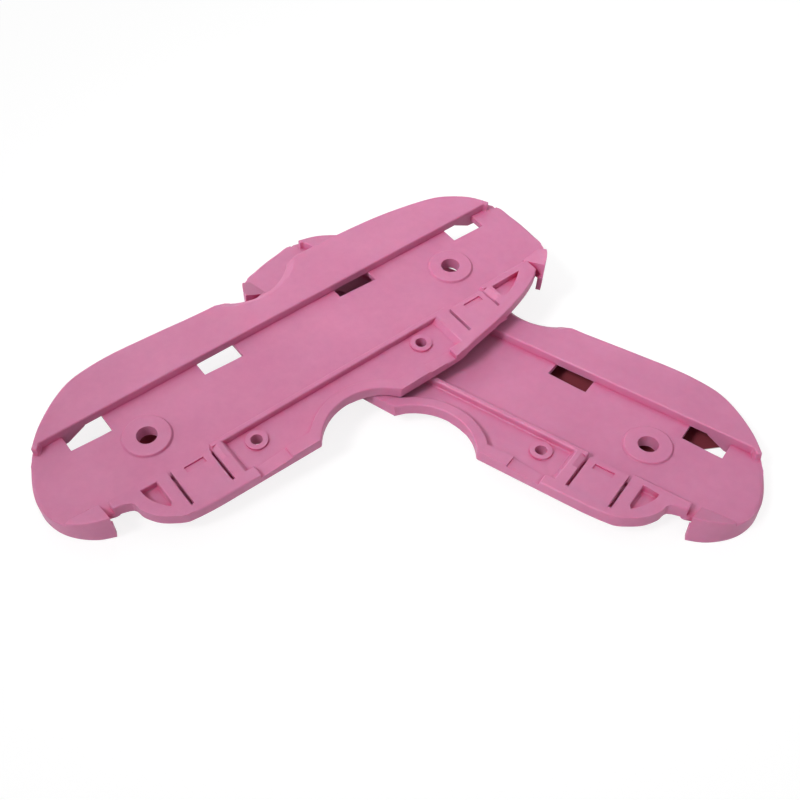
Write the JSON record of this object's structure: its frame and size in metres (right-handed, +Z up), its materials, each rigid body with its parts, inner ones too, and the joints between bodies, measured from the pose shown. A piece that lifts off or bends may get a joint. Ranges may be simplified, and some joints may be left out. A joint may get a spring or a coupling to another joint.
{
  "type": "inline skate soul plate pair",
  "caption": "Mirror-image pair of moulded skate soul plates lying crossed, each with a frame channel, flanges, grind notches, upright claws and spring tongues.",
  "frame": {"origin": "centre of the crossed pair's box, on the surface that it lies on", "axes": "+Z up, +X along the lower plate towards its heel, +Y towards the lower plate's outer flange"},
  "size_m": [0.268, 0.259, 0.034],
  "materials": {
    "pink_plastic": "fine matte moulded texture"
  },
  "bodies": {
    "lower_plate": {"left_soul_plate": "pink_plastic"},
    "upper_plate": {"right_soul_plate": "pink_plastic"},
    "left_heel_tongue": {"left_heel_tongue": "pink_plastic"},
    "left_toe_tongue": {"left_toe_tongue": "pink_plastic"},
    "right_heel_tongue": {"right_heel_tongue": "pink_plastic"},
    "right_toe_tongue": {"right_toe_tongue": "pink_plastic"}
  },
  "joints": [
    {"name": "upper_plate_lift", "type": "slide", "parent": "lower_plate", "child": "upper_plate", "axis": [0, 0, 1], "range_m": [0, 0.12]},
    {"name": "left_heel_tongue_flex", "type": "hinge", "parent": "lower_plate", "child": "left_heel_tongue", "pos_m": [0.07615, 0.0012, 0.0119], "axis": [1, 0, 0], "range_deg": [-4, 3], "stiffness_Nm_per_rad": 2},
    {"name": "left_toe_tongue_flex", "type": "hinge", "parent": "lower_plate", "child": "left_toe_tongue", "pos_m": [-0.0712, 0.0062, 0.0119], "axis": [0.9858, -0.1678, 0], "range_deg": [-4, 3], "stiffness_Nm_per_rad": 2},
    {"name": "right_heel_tongue_flex", "type": "hinge", "parent": "upper_plate", "child": "right_heel_tongue", "pos_m": [-0.04649, -0.08401, 0.01309], "axis": [0.2885, 0.9556, 0.0593], "range_deg": [-4, 3], "stiffness_Nm_per_rad": 2},
    {"name": "right_toe_tongue_flex", "type": "hinge", "parent": "upper_plate", "child": "right_toe_tongue", "pos_m": [-0.00874, 0.05821, 0.02237], "axis": [0.1244, 0.9893, 0.0766], "range_deg": [-4, 3], "stiffness_Nm_per_rad": 2}
  ]
}
